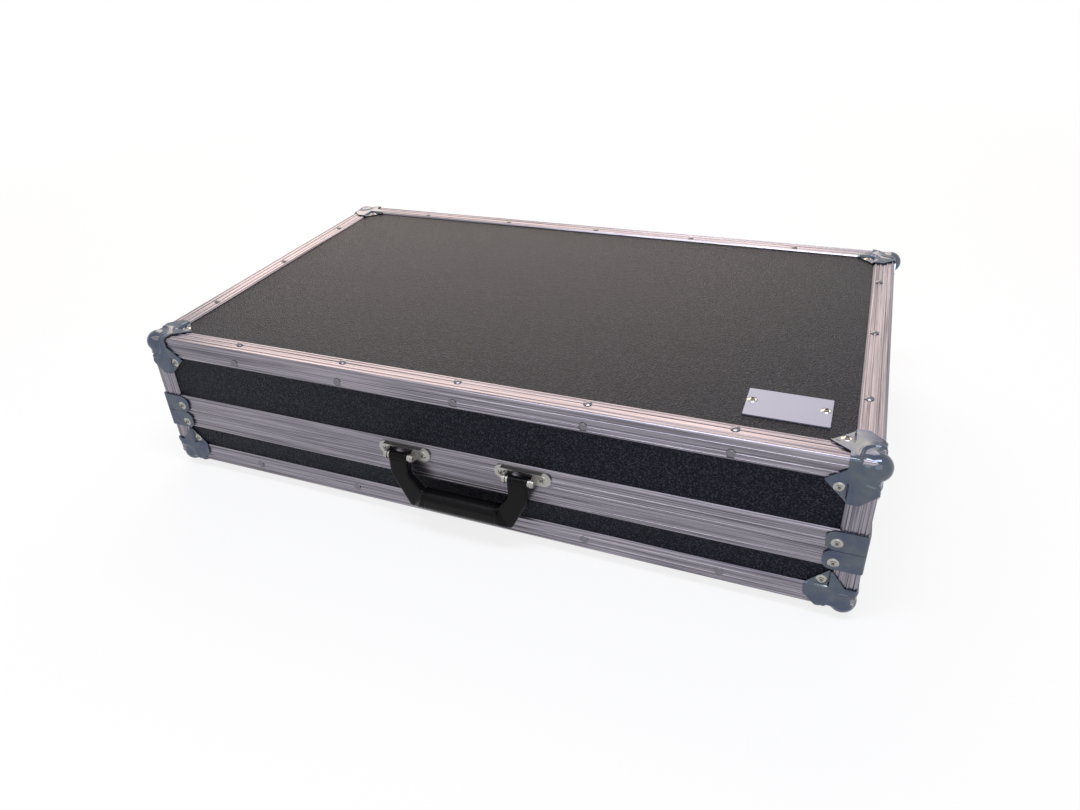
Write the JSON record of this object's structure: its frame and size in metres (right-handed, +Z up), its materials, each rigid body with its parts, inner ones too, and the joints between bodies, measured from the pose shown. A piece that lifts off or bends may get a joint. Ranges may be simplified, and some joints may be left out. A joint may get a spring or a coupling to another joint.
{
  "type": "flight case",
  "caption": "Low rectangular flight case with a hinged lid, aluminium edging, steel ball corners, recessed turn latches, a folding front handle and a foam-lined bay.",
  "frame": {"origin": "middle of the overall footprint, on the plane that the rubber feet stand on", "axes": "+X along the front to the right, +Y from the front to the hinged back, +Z up"},
  "size_m": [0.7446, 0.4729, 0.1675],
  "materials": {
    "laminated_board": "black textured laminate on plywood",
    "extrusion": "mill-finish aluminium extrusion",
    "plated_steel": "bright zinc-plated pressed steel",
    "rivets": "plated steel heads",
    "foam": "black open-cell foam",
    "rubber": "matt black rubber",
    "handle_plastic": "pebbled black moulded plastic",
    "name_plate": "bare satin aluminium sheet"
  },
  "bodies": {
    "base": {"base_floor_board": "laminated_board", "base_front_board": "laminated_board", "base_back_board": "laminated_board", "base_right_board": "laminated_board", "base_left_board": "laminated_board", "base_long_edges": "extrusion", "base_short_edges": "extrusion", "base_corner_posts": "extrusion", "base_front_rail": "extrusion", "base_back_rail": "extrusion", "base_right_rail": "extrusion", "base_left_rail": "extrusion", "base_ball_corners": "plated_steel", "base_corner_braces": "plated_steel", "base_edge_rivets": "rivets", "base_blind_rivets": "rivets", "rubber_feet": "rubber", "foot_screws": "rivets", "base_hinge_leaves": "plated_steel", "hinge_pins": "plated_steel", "base_floor_foam": "foam", "base_wall_foam": "foam", "right_latch_dish": "plated_steel", "left_latch_dish": "plated_steel"},
    "lid": {"lid_top_board": "laminated_board", "lid_front_board": "laminated_board", "lid_back_board": "laminated_board", "lid_right_board": "laminated_board", "lid_left_board": "laminated_board", "lid_long_edges": "extrusion", "lid_short_edges": "extrusion", "lid_corner_posts": "extrusion", "lid_front_rail": "extrusion", "lid_back_rail": "extrusion", "lid_right_rail": "extrusion", "lid_left_rail": "extrusion", "lid_ball_corners": "plated_steel", "lid_corner_braces": "plated_steel", "lid_edge_rivets": "rivets", "lid_blind_rivets": "rivets", "lid_hinge_leaves": "plated_steel", "name_plate": "name_plate", "handle_brackets": "plated_steel", "handle_pins": "plated_steel", "lid_top_foam": "foam", "lid_wall_foam": "foam", "right_strike_dish": "plated_steel", "left_strike_dish": "plated_steel"},
    "handle": {"handle_moulding": "handle_plastic", "handle_sleeves": "plated_steel"},
    "right_boss": {"right_latch_boss": "plated_steel"},
    "right_wing": {"right_latch_wing": "plated_steel"},
    "right_claw": {"right_latch_claw": "plated_steel"},
    "left_boss": {"left_latch_boss": "plated_steel"},
    "left_wing": {"left_latch_wing": "plated_steel"},
    "left_claw": {"left_latch_claw": "plated_steel"}
  },
  "joints": [
    {"name": "lid_hinge", "type": "hinge", "parent": "base", "child": "lid", "pos_m": [0, 0.23325, 0.074], "axis": [-1, 0, 0], "range_deg": [0, 105]},
    {"name": "handle_swing", "type": "hinge", "parent": "lid", "child": "handle", "pos_m": [0.0037, -0.22745, 0.0846], "axis": [-1, 0, 0], "range_deg": [0, 90]},
    {"name": "right_latch_turn", "type": "hinge", "parent": "base", "child": "right_boss", "pos_m": [0.36, 0.00625, 0.0555], "axis": [1, 0, 0], "range_deg": [0, 180]},
    {"name": "right_wing_fold", "type": "hinge", "parent": "right_boss", "child": "right_wing", "pos_m": [0.3625, 0.00625, 0.0555], "axis": [0, -1, 0], "range_deg": [0, 90]},
    {"name": "right_claw_slide", "type": "slide", "parent": "base", "child": "right_claw", "axis": [0, 0, 1], "range_m": [0, 0.006]},
    {"name": "left_latch_turn", "type": "hinge", "parent": "base", "child": "left_boss", "pos_m": [-0.36, 0.00625, 0.0555], "axis": [1, 0, 0], "range_deg": [0, 180]},
    {"name": "left_wing_fold", "type": "hinge", "parent": "left_boss", "child": "left_wing", "pos_m": [-0.3625, 0.00625, 0.0555], "axis": [0, 1, 0], "range_deg": [0, 90]},
    {"name": "left_claw_slide", "type": "slide", "parent": "base", "child": "left_claw", "axis": [0, 0, 1], "range_m": [0, 0.006]}
  ],
  "couplings": [
    {"joint": "right_claw_slide", "follows": "right_latch_turn", "m_per_rad": 0.0019098},
    {"joint": "left_claw_slide", "follows": "left_latch_turn", "m_per_rad": 0.0019098}
  ]
}
